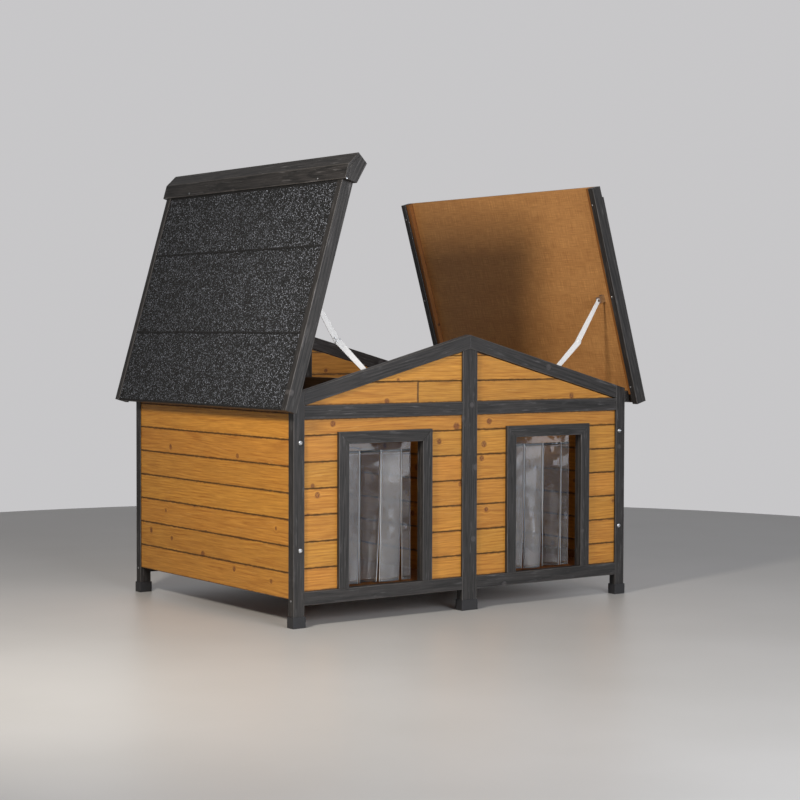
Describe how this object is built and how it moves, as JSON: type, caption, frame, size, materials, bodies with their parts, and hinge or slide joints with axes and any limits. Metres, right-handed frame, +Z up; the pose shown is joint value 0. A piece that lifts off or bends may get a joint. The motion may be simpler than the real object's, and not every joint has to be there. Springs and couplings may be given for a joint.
{
  "type": "dog house",
  "caption": "Two-room wooden dog house with a low gable roof of hinged lift-up panels, folding lid stays and doorways hung with clear strip flaps.",
  "frame": {"origin": "on the ground in the middle of the footprint, under the centre of the whole outline", "axes": "+X to the right along the front wall, +Y from the front wall into the house, +Z up"},
  "size_m": [1.4326, 1.102, 1.4078],
  "materials": {
    "charcoal_timber": "matt charcoal stain on softwood",
    "stained_planks": "golden brown stain on knotty softwood",
    "stained_studs": "brown stain on softwood",
    "plywood": "brown stained plywood",
    "mineral_felt": "bitumen felt with mineral granules",
    "clear_vinyl": "clear flexible sheet",
    "black_plastic": "moulded",
    "zinc_steel": "zinc plated",
    "white_steel": "white coated pressed steel"
  },
  "bodies": {
    "house": {"front_post_left": "charcoal_timber", "front_post_right": "charcoal_timber", "front_post_centre": "charcoal_timber", "front_lower_rails": "charcoal_timber", "front_mid_rails": "charcoal_timber", "front_rafters": "charcoal_timber", "back_corner_posts": "charcoal_timber", "back_post_centre": "charcoal_timber", "back_lower_rails": "charcoal_timber", "back_mid_rails": "charcoal_timber", "back_rafters": "charcoal_timber", "eave_rail_left": "charcoal_timber", "eave_rail_right": "charcoal_timber", "divider_rails": "charcoal_timber", "door_frame_left": "charcoal_timber", "door_frame_right": "charcoal_timber", "front_planks_left": "stained_planks", "front_planks_right": "stained_planks", "front_gable_planks": "stained_planks", "back_planks": "stained_planks", "back_gable_planks": "stained_planks", "side_planks_left": "stained_planks", "side_planks_right": "stained_planks", "divider_planks": "stained_planks", "side_frame_left": "stained_studs", "side_frame_right": "stained_studs", "floor_boards": "stained_studs", "floor_bearers": "stained_studs", "curtain_headers": "clear_vinyl", "foot_caps": "black_plastic", "hinge_wall_leaves": "zinc_steel", "hinge_pins": "zinc_steel", "stay_wall_brackets": "white_steel", "stay_wall_pins": "white_steel"},
    "roof_left": {"roof_left_frame": "charcoal_timber", "roof_left_deck": "plywood", "roof_left_battens": "stained_studs", "roof_left_felt": "mineral_felt", "ridge_cap": "charcoal_timber", "roof_left_hinge_leaves": "zinc_steel", "roof_left_stay_bracket": "white_steel"},
    "roof_right": {"roof_right_frame": "charcoal_timber", "roof_right_deck": "plywood", "roof_right_battens": "stained_studs", "roof_right_felt": "mineral_felt", "roof_right_hinge_leaves": "zinc_steel", "roof_right_stay_bracket": "white_steel"},
    "stay_left_lower": {"stay_left_lower_arm": "white_steel"},
    "stay_left_upper": {"stay_left_upper_arm": "white_steel"},
    "stay_right_lower": {"stay_right_lower_arm": "white_steel"},
    "stay_right_upper": {"stay_right_upper_arm": "white_steel"},
    "flap_left_1": {"flap_left_1": "clear_vinyl"},
    "flap_left_2": {"flap_left_2": "clear_vinyl"},
    "flap_left_3": {"flap_left_3": "clear_vinyl"},
    "flap_left_4": {"flap_left_4": "clear_vinyl"},
    "flap_right_1": {"flap_right_1": "clear_vinyl"},
    "flap_right_2": {"flap_right_2": "clear_vinyl"},
    "flap_right_3": {"flap_right_3": "clear_vinyl"},
    "flap_right_4": {"flap_right_4": "clear_vinyl"}
  },
  "joints": [
    {"name": "roof_left_hinge", "type": "hinge", "parent": "house", "child": "roof_left", "pos_m": [-0.685, 0, 0.67881], "axis": [0, 1, 0], "range_deg": [0, 58.7]},
    {"name": "stay_left_wall_pivot", "type": "hinge", "parent": "house", "child": "stay_left_lower", "pos_m": [-0.343, -0.4567, 0.72401], "axis": [0, 1, 0], "range_deg": [-47.01, 0]},
    {"name": "stay_left_roof_pivot", "type": "hinge", "parent": "roof_left", "child": "stay_left_upper", "pos_m": [-0.57057, -0.4524, 0.98354], "axis": [0, 1, 0], "range_deg": [0, 54.75]},
    {"name": "roof_right_hinge", "type": "hinge", "parent": "house", "child": "roof_right", "pos_m": [0.685, 0, 0.67881], "axis": [0, -1, 0], "range_deg": [0, 58.7]},
    {"name": "stay_right_wall_pivot", "type": "hinge", "parent": "house", "child": "stay_right_lower", "pos_m": [0.343, -0.4567, 0.72401], "axis": [0, -1, 0], "range_deg": [-47.01, 0]},
    {"name": "stay_right_roof_pivot", "type": "hinge", "parent": "roof_right", "child": "stay_right_upper", "pos_m": [0.57057, -0.4524, 0.98354], "axis": [0, -1, 0], "range_deg": [0, 54.75]},
    {"name": "flap_left_1_swing", "type": "hinge", "parent": "house", "child": "flap_left_1", "pos_m": [-0.4435, -0.459, 0.516], "axis": [1, 0, 0], "range_deg": [0, 80]},
    {"name": "flap_left_2_swing", "type": "hinge", "parent": "house", "child": "flap_left_2", "pos_m": [-0.3645, -0.459, 0.516], "axis": [1, 0, 0], "range_deg": [-80, 80]},
    {"name": "flap_left_3_swing", "type": "hinge", "parent": "house", "child": "flap_left_3", "pos_m": [-0.2855, -0.459, 0.516], "axis": [1, 0, 0], "range_deg": [-80, 80]},
    {"name": "flap_left_4_swing", "type": "hinge", "parent": "house", "child": "flap_left_4", "pos_m": [-0.2295, -0.459, 0.516], "axis": [1, 0, 0], "range_deg": [-80, 80]},
    {"name": "flap_right_1_swing", "type": "hinge", "parent": "house", "child": "flap_right_1", "pos_m": [0.2065, -0.459, 0.516], "axis": [1, 0, 0], "range_deg": [0, 80]},
    {"name": "flap_right_2_swing", "type": "hinge", "parent": "house", "child": "flap_right_2", "pos_m": [0.2855, -0.459, 0.516], "axis": [1, 0, 0], "range_deg": [-80, 80]},
    {"name": "flap_right_3_swing", "type": "hinge", "parent": "house", "child": "flap_right_3", "pos_m": [0.3645, -0.459, 0.516], "axis": [1, 0, 0], "range_deg": [-80, 80]},
    {"name": "flap_right_4_swing", "type": "hinge", "parent": "house", "child": "flap_right_4", "pos_m": [0.4205, -0.459, 0.516], "axis": [1, 0, 0], "range_deg": [-80, 80]}
  ],
  "couplings": [
    {"joint": "stay_left_wall_pivot", "follows": "roof_left_hinge", "ratio": -0.79233},
    {"joint": "stay_left_roof_pivot", "follows": "roof_left_hinge", "ratio": 0.92419},
    {"joint": "stay_right_wall_pivot", "follows": "roof_right_hinge", "ratio": -0.79233},
    {"joint": "stay_right_roof_pivot", "follows": "roof_right_hinge", "ratio": 0.92419}
  ]
}
